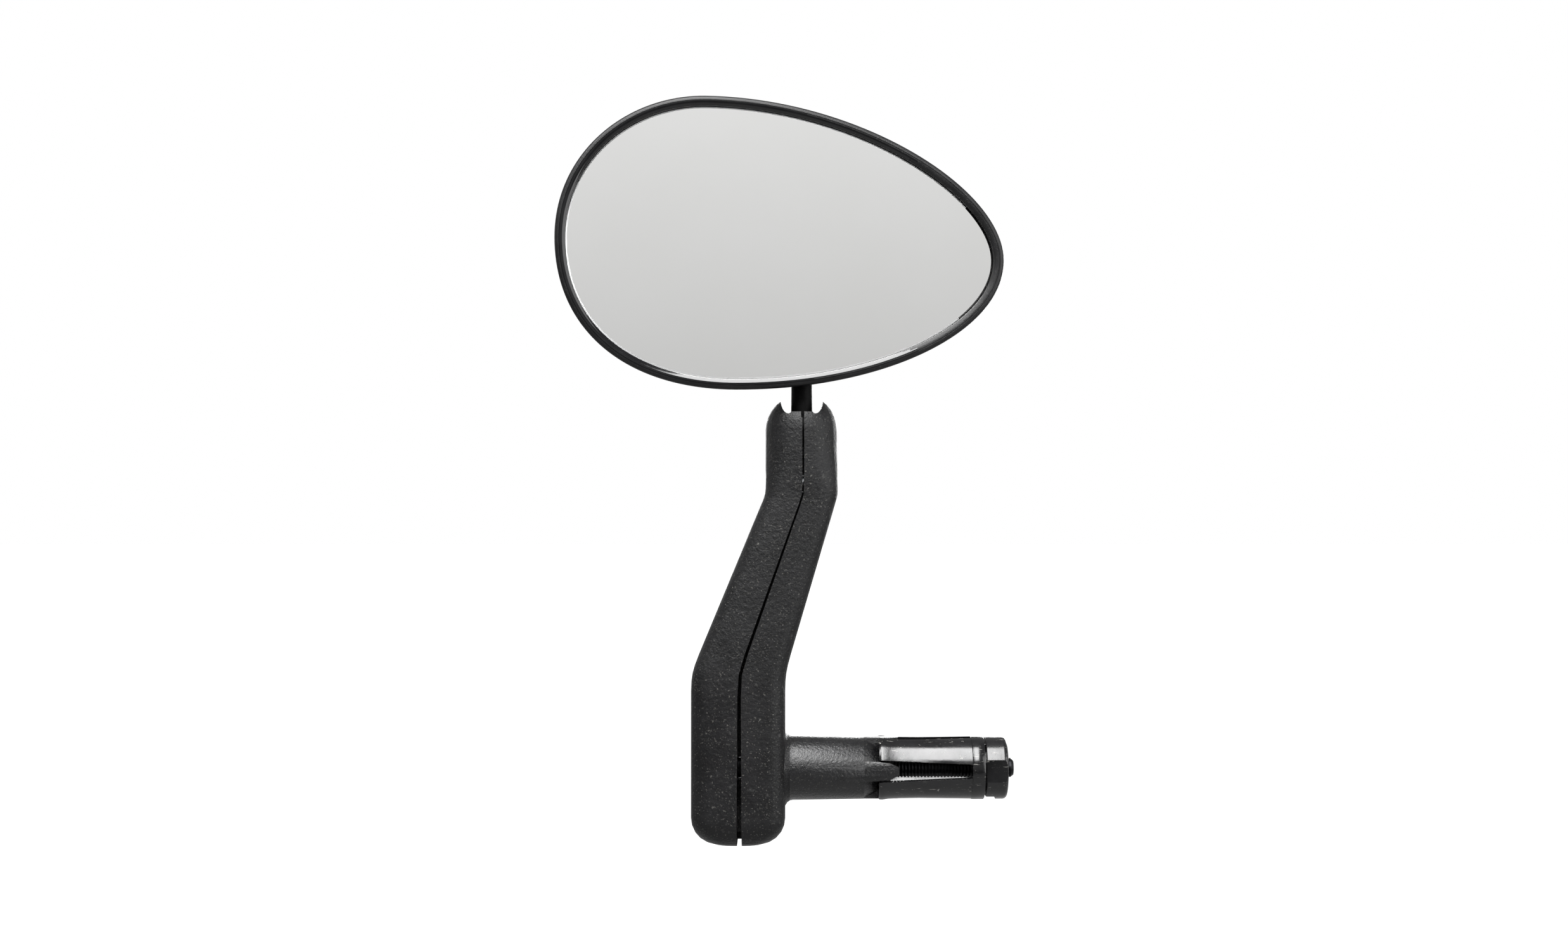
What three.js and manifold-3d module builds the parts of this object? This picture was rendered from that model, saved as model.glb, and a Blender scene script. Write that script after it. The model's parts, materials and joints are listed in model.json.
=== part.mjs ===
// Bar-end bike mirror: a convex glass on a ball stalk, a two-shell arm, and an expanding plug.
// Millimetres, +Z up. The origin is on the plug's axis where the arm meets the bar end,
// +X runs along the plug into the handlebar, and the glass faces -Y.
import * as THREE from 'three';
import { mergeVertices } from 'three/addons/utils/BufferGeometryUtils.js';
import Module from 'manifold-3d';

// Arm
const armBottom = -17.9;
const armLowX = -11.2; // centre line of the lower section
const armHighX = 3.96; // centre line of the upper section, and of the ball
const bendLow = 23.3;
const bendHigh = 65.8;
const armHalfWidthLow = 11.2;
const armHalfDepthLow = 11;
const domeRadius = 8.65;
const armCorner = 4.5;
const bottomRound = 6.9;
const armWall = 2.3;
const seamShift = 0.3; // the seam runs this far right of the centre line
const ribStart = 0.9; // the seam's rib starts this far above the arm's bottom

// Ball joint
const ballZ = 81;
const ballRadius = 4.8;
const cupInner = 5.05;
const cupOuter = 5.95;
const cupSpread = 48; // degrees from the cup's own axis
const seatRadius = 6.2;
const beltRadius = 6.9;
const stalkRadius = 2.6;
const stalkTop = 94.6;

// Ball clamp
const clampZ = 68.2;
const clampSeatX = 0.5;
const clampNutX = 9.2;

// Plug
const neckLength = 18.8;
const neckRootRadius = 7.75;
const neckTipRadius = 7.45;
const coneEnd = 25.2;
const coneSlope = 0.4663; // 25 degrees
const boreRadius = 2.8;
const fingerTip = 22.3;
const fingerRoot = 44.2;
const ringStart = 44.5;
const capStart = 47.9;
const capEnd = 53.1;
const capRadius = 7.45;
const screwSeatX = -14.1;
const screwTip = 54.8;
const threadPitch = 0.8;

// Mirror head
const headYaw = THREE.MathUtils.degToRad(4.5);
const headCentre = new THREE.Vector2(-2, 125);
const glassBulge = 1 / 2000; // depth per squared distance from the glass's middle
const glassFront = -7.4;
const glassThickness = 1.9;

const wasm = await Module();
wasm.setup();

// ---- solids from geometry and back ----

function solidOf(geometry) {
  const bare = new THREE.BufferGeometry();
  bare.setAttribute('position', geometry.getAttribute('position').clone());
  if (geometry.index) bare.setIndex(geometry.index.clone());
  const merged = mergeVertices(bare, 1e-4);
  const corners = merged.index.array;
  const triangles = [];
  for (let i = 0; i < corners.length; i += 3) {
    const [a, b, c] = corners.slice(i, i + 3);
    if (a !== b && b !== c && c !== a) triangles.push(a, b, c);
  }
  const vertProperties = new Float32Array(merged.getAttribute('position').array);
  const make = (list) => new wasm.Manifold(
    new wasm.Mesh({ numProp: 3, vertProperties, triVerts: new Uint32Array(list) }),
  );
  const made = make(triangles);
  if (made.volume() > 0) return made;
  for (let i = 0; i < triangles.length; i += 3) {
    [triangles[i + 1], triangles[i + 2]] = [triangles[i + 2], triangles[i + 1]];
  }
  return make(triangles);
}

function geometryOf(solid) {
  const mesh = solid.getMesh();
  const geometry = new THREE.BufferGeometry();
  geometry.setAttribute('position', new THREE.BufferAttribute(mesh.vertProperties, 3));
  geometry.setIndex(new THREE.BufferAttribute(mesh.triVerts, 1));
  geometry.computeVertexNormals();
  return geometry;
}

const joined = (...solids) => solids.reduce((sum, next) => sum.add(next));
const cut = (solid, ...tools) => tools.reduce((left, tool) => left.subtract(tool), solid);

// ---- basic shapes ----

// A skin over rings of equal point count, closed by a fan at each end.
function loft(rings) {
  const count = rings[0].length;
  const positions = rings.flat().flatMap((p) => [p.x, p.y, p.z]);
  const index = [];
  for (let r = 0; r < rings.length - 1; r++) {
    for (let i = 0; i < count; i++) {
      const a = r * count + i;
      const b = r * count + ((i + 1) % count);
      index.push(a, b, b + count, a, b + count, a + count);
    }
  }
  const ends = [
    [rings[0], 0, true],
    [rings.at(-1), (rings.length - 1) * count, false],
  ];
  for (const [ring, start, turn] of ends) {
    const middle = ring.reduce((sum, p) => sum.add(p), new THREE.Vector3()).divideScalar(count);
    const hub = positions.length / 3;
    positions.push(middle.x, middle.y, middle.z);
    for (let i = 0; i < count; i++) {
      const a = start + i;
      const b = start + ((i + 1) % count);
      if (turn) index.push(hub, b, a);
      else index.push(hub, a, b);
    }
  }
  const geometry = new THREE.BufferGeometry();
  geometry.setAttribute('position', new THREE.Float32BufferAttribute(positions, 3));
  geometry.setIndex(index);
  return solidOf(geometry);
}

// A profile of [position along the axis, radius] turned about the X axis at height z.
function turnedX(profile, { segments = 40, x = 0, z = 0 } = {}) {
  const points = profile.map(([along, radius]) => new THREE.Vector2(radius, along));
  const geometry = new THREE.LatheGeometry(points, segments);
  geometry.rotateZ(-Math.PI / 2);
  geometry.translate(x, 0, z);
  return solidOf(geometry);
}

const rodX = (from, to, radius, z = 0, segments = 32) => turnedX(
  [[from, 0], [from, radius], [to, radius], [to, 0]],
  { segments, z },
);

const ringX = (from, to, inner, outer, z = 0, segments = 32) => turnedX(
  [[from, inner], [from, outer], [to, outer], [to, inner], [from, inner]],
  { segments, z },
);

function box(x0, x1, y0, y1, z0, z1) {
  const geometry = new THREE.BoxGeometry(x1 - x0, y1 - y0, z1 - z0);
  geometry.translate((x0 + x1) / 2, (y0 + y1) / 2, (z0 + z1) / 2);
  return solidOf(geometry);
}

function hexX(from, to, acrossFlats, z = 0) {
  const corner = acrossFlats / Math.sqrt(3);
  const geometry = new THREE.CylinderGeometry(corner, corner, to - from, 6);
  geometry.rotateZ(Math.PI / 2);
  geometry.translate((from + to) / 2, 0, z);
  return solidOf(geometry);
}

function sphere(radius, x, z, detail = 24) {
  const geometry = new THREE.SphereGeometry(radius, detail, detail / 2);
  geometry.translate(x, 0, z);
  return solidOf(geometry);
}

// A front-view outline of [x, z] pairs, carried from y0 to y1.
function prismY(outline, y0, y1) {
  const shape = new THREE.Shape(outline.map(([x, z]) => new THREE.Vector2(x, z)));
  const geometry = new THREE.ExtrudeGeometry(shape, { depth: y1 - y0, bevelEnabled: false });
  geometry.rotateX(Math.PI / 2);
  geometry.translate(0, y1, 0);
  return solidOf(geometry);
}

// ---- the arm's outer form, as level slices ----

// Ramps from 0 to a slope of 1 around a height, over a soft length.
const ramp = (z, start, soft) => soft * Math.log1p(Math.exp(Math.min((z - start) / soft, 60)));

function armSlice(z) {
  const climb = ramp(z, bendLow, 1.3) - ramp(z, bendHigh, 0.5);
  const share = climb / (bendHigh - bendLow);
  const slice = {
    x: armLowX + (armHighX - armLowX) * share,
    halfWidth: armHalfWidthLow + (domeRadius - armHalfWidthLow) * share,
    halfDepth: armHalfDepthLow + (domeRadius - armHalfDepthLow) * share,
    corner: armCorner,
  };
  const foot = Math.max(0, armBottom + bottomRound - z);
  const tuck = bottomRound - Math.sqrt(Math.max(0, bottomRound ** 2 - foot ** 2));
  slice.halfWidth -= tuck;
  slice.halfDepth -= tuck * 0.8;
  if (z > bendHigh) {
    const rise = Math.min(1, (z - bendHigh) / (ballZ - bendHigh));
    slice.corner += (domeRadius - armCorner) * rise * rise * (3 - 2 * rise);
  }
  if (z > ballZ) {
    const radius = Math.sqrt(Math.max(0.0025, domeRadius ** 2 - (z - ballZ) ** 2));
    slice.halfWidth = radius;
    slice.halfDepth = radius;
    slice.corner = radius;
  }
  return slice;
}

function armRing(z, inset = 0) {
  const slice = armSlice(z);
  const halfWidth = slice.halfWidth - inset;
  const halfDepth = slice.halfDepth - inset;
  const corner = Math.min(slice.corner - inset * 0.6, halfWidth * 0.999, halfDepth * 0.999);
  const steps = inset ? 3 : 6;
  const points = [];
  for (const [sideX, sideY, start] of [[1, 1, 0], [-1, 1, 1], [-1, -1, 2], [1, -1, 3]]) {
    for (let i = 0; i <= steps; i++) {
      const angle = (start + i / steps) * Math.PI / 2;
      points.push(new THREE.Vector3(
        slice.x + sideX * (halfWidth - corner) + corner * Math.cos(angle),
        sideY * (halfDepth - corner) + corner * Math.sin(angle),
        z,
      ));
    }
  }
  return points;
}

// Heights that follow a quarter round: close together where it turns fastest.
const roundHeights = (from, radius, steps, sign) => Array.from(
  { length: steps },
  (_, i) => from + sign * radius * Math.sin((i + 1) / steps * Math.PI / 2),
);

function armForm() {
  const foot = armBottom + bottomRound;
  const heights = [
    ...roundHeights(foot, bottomRound, 6, -1).reverse(),
    foot, 14, 19, 21.5, 23.3, 25.2, 27.7, 32, 62, 64.6, 65.8, 67, 69, 73, 77, ballZ,
    ...roundHeights(ballZ, domeRadius, 8, 1),
  ];
  return loft(heights.map((z) => armRing(z)));
}

const armCavity = () => loft(
  [armBottom + armWall, armBottom + 4.5, armBottom + 8, 20, 23.3, 27, 61].map((z) => armRing(z, armWall)),
);

// ---- the seam between the two shells ----

const seamX = (z) => armSlice(Math.min(z, ballZ)).x + seamShift;
const seamGap = (z) => 0.45 + 0.7 * THREE.MathUtils.clamp((ballZ - 15 - z) / 85, 0, 1);

// The region on one side of the seam: -1 is the outer shell's side, +1 the plug's side.
function seamSide(side) {
  const edge = [-30, -19, 18, bendLow, 28, 63, bendHigh, 69, 100].map(
    (z) => [seamX(z) + side * seamGap(z) / 2, z],
  );
  return prismY([...edge, [side * 60, 100], [side * 60, -30]], -20, 20);
}

// A rib of the plug-side shell that reaches across the seam and closes it to light.
function seamRib(grow, top) {
  const heights = [armBottom + ribStart - grow, 18, bendLow, 28, 60, 63, bendHigh, 69, top + grow];
  const left = heights.map((z) => [seamX(z) - 1.9 - grow, z]);
  const right = heights.map((z) => [seamX(z) + (z < 61 ? 8.6 : 1.2), z]).reverse();
  return prismY([...left, ...right], -1 - grow, 1 + grow);
}

// A saddle close under the ball, which closes the seam to light between the rib and the ball.
function seamSaddle() {
  const left = seamX(ballZ) - 1.9;
  const right = seamX(ballZ) + 1.2;
  const neck = box(left, right, -1, 1, 73, 75);
  const saddle = box(left, right, -3, 3, 73, 77);
  const insideBelt = rodX(left - 1, right + 1, beltRadius - 0.3, ballZ, 40);
  return neck.add(saddle.intersect(insideBelt)).subtract(sphere(ballRadius + 0.3, armHighX, ballZ));
}

const seamBlock = () => box(seamX(-10) - 1.6, seamX(-10) + 9, -7.2, 7.2, -14.2, -7.9);

// ---- cuts shared by both shells ----

function ballSeat() {
  const seat = sphere(seatRadius, armHighX, ballZ);
  const belt = rodX(armHighX - 3.4, armHighX + 3.4, beltRadius, ballZ, 40);
  return seat.add(belt);
}

// The open channel that the stalk swings through, cut front to back across the dome.
function stalkChannel() {
  const half = [
    [0, 4.4], [2.55, 4.4], [2.75, 4.1], [3.2, 3.95], [3.75, 4.1],
    [4.2, 4.5], [4.6, 5.1], [4.88, 5.9], [5.05, 6.7], [5.6, 10],
  ];
  const right = half.map(([x, z]) => [armHighX + x, ballZ + z]);
  const left = half.slice(1).map(([x, z]) => [armHighX - x, ballZ + z]).reverse();
  const notch = box(armHighX - 0.2, armHighX + 0.55, -12, 12, ballZ + 3, ballZ + 5);
  return prismY([...left, ...right], -12, 12).add(notch);
}

function clampHoles() {
  return joined(
    rodX(-12, clampSeatX, 4.3, clampZ),
    rodX(clampSeatX - 1, clampNutX + 1, 2.2, clampZ),
    hexX(clampNutX, 20, 7.4, clampZ),
  );
}

const screwHoles = () => rodX(-30, screwSeatX, 5.4).add(rodX(screwSeatX - 1, 40, boreRadius));

// ---- the two shells ----

function makeOuterShell() {
  const wall = cut(armForm(), armCavity());
  const boss = rodX(-22, -10, 7.4).intersect(armForm());
  const shell = wall.add(boss).intersect(seamSide(-1));
  return cut(shell, seamRib(0.35, ballZ - 6.4), ballSeat(), stalkChannel(), clampHoles(), screwHoles());
}

// The neck: an ellipse that flares up and down into the arm's side.
function neckForm() {
  const rings = [];
  const flare = 1.8;
  const stations = [-1.6, -0.4, 0.1, 0.5, 1.1, flare, 9, neckLength];
  for (const x of stations) {
    const radius = neckRootRadius + (neckTipRadius - neckRootRadius) * Math.max(0, x) / neckLength;
    const near = THREE.MathUtils.clamp(flare - x, 0, flare);
    const spread = flare - Math.sqrt(flare ** 2 - near ** 2);
    rings.push(Array.from({ length: 48 }, (_, i) => {
      const angle = i / 48 * 2 * Math.PI;
      const y = (radius + spread * 0.2) * Math.cos(angle);
      const z = (radius + spread) * Math.sin(angle);
      return new THREE.Vector3(x, y, z);
    }));
  }
  return loft(rings);
}

const coneRadius = (x) => neckTipRadius - 0.05 - (x - neckLength) * coneSlope;

// Four tongues that sit in the sleeve's slots and stop it from turning.
function makeTongues() {
  const half = [[17, 2.45], [neckLength, 2.42], [22, 2.3], [24.9, 1.95], [26.4, 1.2], [27.05, 0.85]];
  const outline = [...half, ...half.map(([x, w]) => [x, -w]).reverse()];
  const tube = turnedX(
    [[15, 5], [15, neckTipRadius], [28, neckTipRadius - 0.05], [28, 5], [15, 5]],
    { segments: 64 },
  );
  const across = prismY(outline, -20, 20).intersect(tube);
  const upright = new THREE.ExtrudeGeometry(
    new THREE.Shape(outline.map(([x, y]) => new THREE.Vector2(x, y))),
    { depth: 40, bevelEnabled: false },
  );
  upright.translate(0, 0, -20);
  return across.add(solidOf(upright).intersect(tube));
}

function makePlugShell() {
  const wall = cut(armForm(), armCavity());
  const boss = rodX(-11, -0.5, 7.4).intersect(armForm());
  const half = wall.add(boss).intersect(seamSide(1));
  const cone = turnedX([
    [15, 0], [15, 7.2], [neckLength - 0.3, 7.2], [neckLength, coneRadius(neckLength)],
    [coneEnd - 0.4, coneRadius(coneEnd) + 0.1], [coneEnd, coneRadius(coneEnd) - 0.4], [coneEnd, 0],
  ], { segments: 48 });
  const ribs = seamRib(0, ballZ - 6.6).add(seamBlock()).intersect(armForm());
  const body = joined(half, ribs, neckForm(), cone, makeTongues());
  const hollows = [ballSeat(), stalkChannel(), clampHoles(), screwHoles(), rodX(-7.5, 16, 5)];
  return cut(body, ...hollows).add(seamSaddle());
}

// ---- ball joint ----

function makeCup(side) {
  const steps = 5;
  const arc = (radius) => Array.from({ length: steps + 1 }, (_, i) => {
    const angle = THREE.MathUtils.degToRad(cupSpread) * i / steps;
    return [side * radius * Math.cos(angle), radius * Math.sin(angle)];
  });
  const profile = [...arc(cupInner), ...arc(cupOuter).reverse()];
  return turnedX(profile, { segments: 24, x: armHighX, z: ballZ });
}

// ---- mirror head ----

// The rim's outline as four curves through its left, top, right and bottom points.
function headOutline(perCurve) {
  const v = (x, z) => new THREE.Vector2(x, z);
  const curves = [
    [v(-19.5, 159.9), v(17.2, 159.9), v(51.8, 138.7), v(51.8, 121.5)],
    [v(51.8, 121.5), v(51.8, 104.6), v(23.5, 90.5), v(-12.3, 90.5)],
    [v(-12.3, 90.5), v(-38.4, 90.5), v(-55, 104.4), v(-55, 126.2)],
    [v(-55, 126.2), v(-55, 145.9), v(-38.3, 159.9), v(-19.5, 159.9)],
  ];
  return curves.flatMap((points) => new THREE.CubicBezierCurve(...points).getPoints(perCurve).slice(0, -1));
}

// One ring of the head: the outline moved inwards, then shrunk toward the centre.
function headRing(inset, scale, depth, perCurve = 10) {
  const outline = headOutline(perCurve);
  return outline.map((point, i) => {
    const before = outline.at(i - 1);
    const after = outline[(i + 1) % outline.length];
    const along = after.clone().sub(before).normalize();
    const moved = point.clone().add(new THREE.Vector2(along.y, -along.x).multiplyScalar(inset));
    moved.sub(headCentre).multiplyScalar(scale).add(headCentre);
    const y = typeof depth === 'function' ? depth(moved) : depth;
    return new THREE.Vector3(moved.x, y, moved.y);
  });
}

function turnHead(solid) {
  const geometry = geometryOf(solid);
  geometry.translate(-armHighX, 0, 0);
  geometry.rotateZ(headYaw);
  geometry.translate(armHighX, 0, 0);
  return solidOf(geometry);
}

function makeHousing() {
  const dish = loft([
    headRing(0, 0.03, 12), headRing(0, 0.35, 11.5), headRing(0, 0.62, 9.8), headRing(0, 0.81, 6.8),
    headRing(0, 0.915, 3.2), headRing(0, 0.965, 0), headRing(0.45, 1, -3), headRing(0.1, 1, -5.4),
    headRing(0, 1, -6.5), headRing(0.25, 1, -7.5), headRing(0.8, 1, -8.1), headRing(1.4, 1, -8.2),
    headRing(2, 1, -7.9), headRing(2.3, 1, -7.2), headRing(2.35, 1, -3.9),
    headRing(4.6, 1, -3.9), headRing(4.9, 1, -3.4), headRing(0, 0.905, 0), headRing(0, 0.85, 3),
    headRing(0, 0.75, 5.6), headRing(0, 0.58, 7.9), headRing(0, 0.33, 9.4), headRing(0, 0.03, 9.8),
  ]);
  const ribs = joined(
    box(-52, 48, 0, 1.6, 110, 111.6),
    box(-52, 48, 0, 1.6, 139, 140.6),
  );
  const across = joined(
    box(-40, 40, -2.9, 11, 124.2, 125.8),
    box(-2.8, -1.2, -2.9, 11, 96, 154),
  );
  const solidDish = loft([
    headRing(0, 0.03, 11.5), headRing(0, 0.35, 11), headRing(0, 0.62, 9.3), headRing(0, 0.8, 6.4),
    headRing(0, 0.9, 3), headRing(0, 0.93, 0), headRing(3.6, 1, -3.6),
  ]);
  const boss = uprightRod(4.2, 89.5, 95.4);
  const frame = joined(across, ribs).intersect(solidDish);
  const inside = turnHead(solidDish).intersect(boss);
  const socket = uprightRod(stalkRadius + 0.15, 88, stalkTop + 0.3);
  return turnHead(dish.add(frame)).add(inside).subtract(socket);
}

const uprightRod = (radius, from, to) => {
  const geometry = new THREE.CylinderGeometry(radius, radius, to - from, 28);
  geometry.rotateX(Math.PI / 2);
  geometry.translate(armHighX, 0, (from + to) / 2);
  return solidOf(geometry);
};

// The ball and its stalk, set in the housing's socket.
function makeBallStalk() {
  const stem = new THREE.LatheGeometry([
    [0, ballZ], [stalkRadius, ballZ], [stalkRadius - 0.1, 90], [stalkRadius - 0.1, stalkTop - 0.4],
    [stalkRadius - 0.5, stalkTop], [0, stalkTop],
  ].map(([r, z]) => new THREE.Vector2(r, z)), 28);
  stem.rotateX(Math.PI / 2);
  stem.translate(armHighX, 0, 0);
  return solidOf(stem).add(sphere(ballRadius, armHighX, ballZ));
}

const glassDepth = (offset) => (p) => glassFront + offset + p.distanceToSquared(headCentre) * glassBulge;

function makeGlass() {
  const front = [0.03, 0.3, 0.55, 0.78].map((s) => headRing(2.7, s, glassDepth(0)));
  const edge = [
    headRing(3.1, 1, glassDepth(0)),
    headRing(2.7, 1, glassDepth(0.35)),
    headRing(2.7, 1, glassDepth(glassThickness - 0.1)),
  ];
  const back = [0.78, 0.55, 0.3, 0.03].map((s) => headRing(2.7, s, glassDepth(glassThickness)));
  return turnHead(loft([...front, ...edge, ...back]));
}

function makeBacking() {
  const front = [0.03, 0.4, 0.75, 1].map((s) => headRing(5.4, s, glassDepth(glassThickness + 0.25), 8));
  const back = [1, 0.03].map((s) => headRing(5.4, s, -3.1, 8));
  return turnHead(loft([...front, ...back]));
}

// ---- expanding sleeve ----

const sleeveProfile = () => [
  [fingerTip, 6.25], [fingerTip, 7.62], [fingerTip + 0.3, 7.8], [fingerTip + 0.9, 7.82],
  [24.6, 7.6], [27.6, 7.46], [32, 7.36], [38, 7.38], [fingerRoot, 7.45],
  [fingerRoot, 5.4], [24, 5.4], [fingerTip, 6.25],
];

// One slot's outline across the sleeve: it narrows inwards and has small rounded corners at its end.
function slotOutline() {
  const end = ringStart - 0.1;
  const half = [
    [fingerTip - 2, 2.76], [fingerTip + 6, 2.4], [fingerTip + 14, 2],
    [end - 0.5, 1.72], [end - 0.1, 1.5],
  ];
  return [...half, [end, 1.2], [end, -1.2], ...half.map(([x, w]) => [x, -w]).reverse()];
}

function slots() {
  const across = prismY(slotOutline(), -12, 12);
  const upright = new THREE.ExtrudeGeometry(
    new THREE.Shape(slotOutline().map(([x, y]) => new THREE.Vector2(x, y))),
    { depth: 24, bevelEnabled: false },
  );
  upright.translate(0, 0, -12);
  return across.add(solidOf(upright));
}

function makeFingers() {
  const sleeve = turnedX(sleeveProfile(), { segments: 64 }).subtract(slots());
  return [[-1, 1], [1, 1], [1, -1], [-1, -1]].map(([y, z]) => sleeve.intersect(
    box(0, 60, Math.min(0, y * 12), Math.max(0, y * 12), Math.min(0, z * 12), Math.max(0, z * 12)),
  ));
}

const makeSleeveRing = () => turnedX(
  [
    [ringStart, 5.9], [ringStart, 7.45], [ringStart + 0.2, 7.55],
    [47.4, 7.55], [47.6, 7.4], [47.6, 5.9], [ringStart, 5.9],
  ],
  { segments: 40 },
);

function makeEndCap() {
  const round = 1;
  const arc = Array.from({ length: 5 }, (_, i) => {
    const angle = i / 4 * Math.PI / 2;
    return [capEnd - round + round * Math.sin(angle), capRadius - round + round * Math.cos(angle)];
  });
  const body = turnedX([
    [45.6, 0], [45.6, 5.3], [45.9, 5.6], [capStart, 5.6],
    [capStart, 7.3], [capStart + 0.15, capRadius], ...arc, [capEnd, 0],
  ], { segments: 40 });
  return cut(
    body,
    rodX(40, 60, 3),
    rodX(capStart, capStart + 1.2, 4.95),
    hexX(capStart + 1, 60, 8.35),
    box(capStart - 0.1, capEnd + 1, -12, -6.94, -6, 6),
    box(capStart - 0.1, capStart + 2.5, -6, 6, -12, -6.5),
  );
}

// ---- screws, nuts and washers ----

function socketScrew({ seat, tip, headHeight, headRadius, threadRadius, socket, threadFrom, z, segments }) {
  const top = seat - headHeight;
  const profile = [
    [top, 0], [top, headRadius - 0.4], [top + 0.4, headRadius], [seat, headRadius], [seat, threadRadius],
  ];
  for (let x = threadFrom; x < tip - 1.4; x += threadPitch) {
    profile.push([x, threadRadius], [x + threadPitch / 2, threadRadius - 0.4]);
  }
  profile.push([tip - 0.7, threadRadius - 0.1], [tip, threadRadius - 0.65], [tip, 0]);
  const body = turnedX(profile, { segments, z });
  return body.subtract(hexX(top - 1, seat - headHeight * 0.5, socket, z));
}

const makeExpanderScrew = () => socketScrew({
  seat: -15.2, tip: screwTip, headHeight: 5, headRadius: 4.25, threadRadius: 2.45,
  socket: 4, threadFrom: 25.6, z: 0, segments: 14,
});

const makeClampScrew = () => socketScrew({
  seat: -0.5, tip: 12.3, headHeight: 4, headRadius: 3.5, threadRadius: 1.95,
  socket: 3, threadFrom: 12, z: clampZ, segments: 24,
});

const makeNut = (from, to, acrossFlats, bore, z = 0) => {
  const corner = acrossFlats / Math.sqrt(3);
  const chamfer = turnedX([
    [from, 0], [from, corner - 0.45], [from + 0.4, corner + 0.05],
    [to - 0.4, corner + 0.05], [to, corner - 0.45], [to, 0],
  ], { segments: 36, z });
  return cut(hexX(from, to, acrossFlats, z).intersect(chamfer), rodX(from - 1, to + 1, bore, z));
};

// ---- the assembly ----

const finishes = {
  blackSteel: { color: 0x17181a, roughness: 0.42, metalness: 1 },
  grainedPlastic: { color: 0x313133, roughness: 0.62, metalness: 0 },
  glossPlastic: { color: 0x151516, roughness: 0.28, metalness: 0 },
  frictionPlastic: { color: 0x26282b, roughness: 0.5, metalness: 0 },
  mirror: { color: 0xd3d2d1, roughness: 0.06, metalness: 1 },
  rubber: { color: 0x2a2a2a, roughness: 0.95, metalness: 0 },
  zincSteel: { color: 0xb4b6b8, roughness: 0.35, metalness: 1 },
};

function piece(name, solid, finish) {
  const mesh = new THREE.Mesh(geometryOf(solid), new THREE.MeshStandardMaterial(finishes[finish]));
  mesh.name = name;
  return mesh;
}

const group = (...children) => new THREE.Group().add(...children);

const arm = group(
  piece('outer_shell', makeOuterShell(), 'grainedPlastic'),
  piece('plug_shell', makePlugShell(), 'grainedPlastic'),
  piece('clamp_washer', ringX(-0.3, 0.3, 2.1, 4, clampZ), 'zincSteel'),
  piece('clamp_nut', makeNut(clampNutX + 0.2, clampNutX + 3.1, 7, 2.15, clampZ), 'zincSteel'),
  piece('expander_washer', ringX(screwSeatX - 0.9, screwSeatX - 0.15, 2.7, 5), 'zincSteel'),
);

const ballJoint = group(
  piece('outer_ball_cup', makeCup(-1), 'frictionPlastic'),
  piece('inner_ball_cup', makeCup(1), 'frictionPlastic'),
);

const head = group(
  piece('ball_stalk', makeBallStalk(), 'glossPlastic'),
  piece('mirror_housing', makeHousing(), 'glossPlastic'),
  piece('mirror_glass', makeGlass(), 'mirror'),
  piece('glass_backing', makeBacking(), 'rubber'),
);

const sleeve = group(
  ...makeFingers().map((solid, i) => piece(`expander_finger_${i + 1}`, solid, 'glossPlastic')),
  piece('expander_ring', makeSleeveRing(), 'glossPlastic'),
  piece('end_cap', makeEndCap(), 'glossPlastic'),
  piece('end_washer', ringX(capStart + 0.2, capStart + 1, 2.75, 4.7), 'zincSteel'),
  piece('end_nut', makeNut(capStart + 1.3, capEnd - 0.1, 8, 2.65), 'zincSteel'),
);

const screws = group(
  piece('clamp_screw', makeClampScrew(), 'zincSteel'),
  piece('expander_screw', makeExpanderScrew(), 'blackSteel'),
);

export default group(arm, ballJoint, head, sleeve, screws);
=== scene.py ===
# The bar-end bike mirror: fine skins, hand-made rim and glass, and finishes for every piece
import json
import math

import bmesh
import bpy
from mathutils import Matrix, Vector

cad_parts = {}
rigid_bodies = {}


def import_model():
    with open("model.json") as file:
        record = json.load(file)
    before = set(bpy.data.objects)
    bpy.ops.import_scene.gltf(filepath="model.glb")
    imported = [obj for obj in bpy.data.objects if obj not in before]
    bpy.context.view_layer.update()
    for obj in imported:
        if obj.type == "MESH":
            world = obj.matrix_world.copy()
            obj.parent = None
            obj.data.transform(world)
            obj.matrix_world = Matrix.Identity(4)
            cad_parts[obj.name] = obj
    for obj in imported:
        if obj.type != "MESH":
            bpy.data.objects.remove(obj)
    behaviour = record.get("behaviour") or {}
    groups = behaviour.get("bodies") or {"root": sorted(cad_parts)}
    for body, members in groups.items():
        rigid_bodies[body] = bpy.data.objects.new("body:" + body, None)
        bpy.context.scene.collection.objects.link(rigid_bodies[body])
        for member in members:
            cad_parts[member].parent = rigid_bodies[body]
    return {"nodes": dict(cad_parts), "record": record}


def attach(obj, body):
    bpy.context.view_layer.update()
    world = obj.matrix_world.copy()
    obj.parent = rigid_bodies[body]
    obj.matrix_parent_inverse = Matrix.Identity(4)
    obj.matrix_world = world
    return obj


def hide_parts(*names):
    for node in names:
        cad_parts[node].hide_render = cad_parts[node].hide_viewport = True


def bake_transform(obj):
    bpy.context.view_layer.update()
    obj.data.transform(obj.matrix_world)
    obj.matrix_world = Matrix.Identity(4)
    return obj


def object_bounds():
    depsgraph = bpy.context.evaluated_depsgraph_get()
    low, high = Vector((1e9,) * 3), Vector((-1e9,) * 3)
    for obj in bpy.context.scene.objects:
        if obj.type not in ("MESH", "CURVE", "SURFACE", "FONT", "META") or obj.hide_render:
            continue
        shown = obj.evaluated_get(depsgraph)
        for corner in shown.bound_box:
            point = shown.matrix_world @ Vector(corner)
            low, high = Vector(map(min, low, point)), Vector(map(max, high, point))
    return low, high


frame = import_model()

cadLow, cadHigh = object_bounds()
mm = 0.001
record = frame["record"]


def jointPlace(name):
    return Vector(next(j["pos_m"] for j in record["behaviour"]["joints"] if j["name"] == name))


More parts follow.
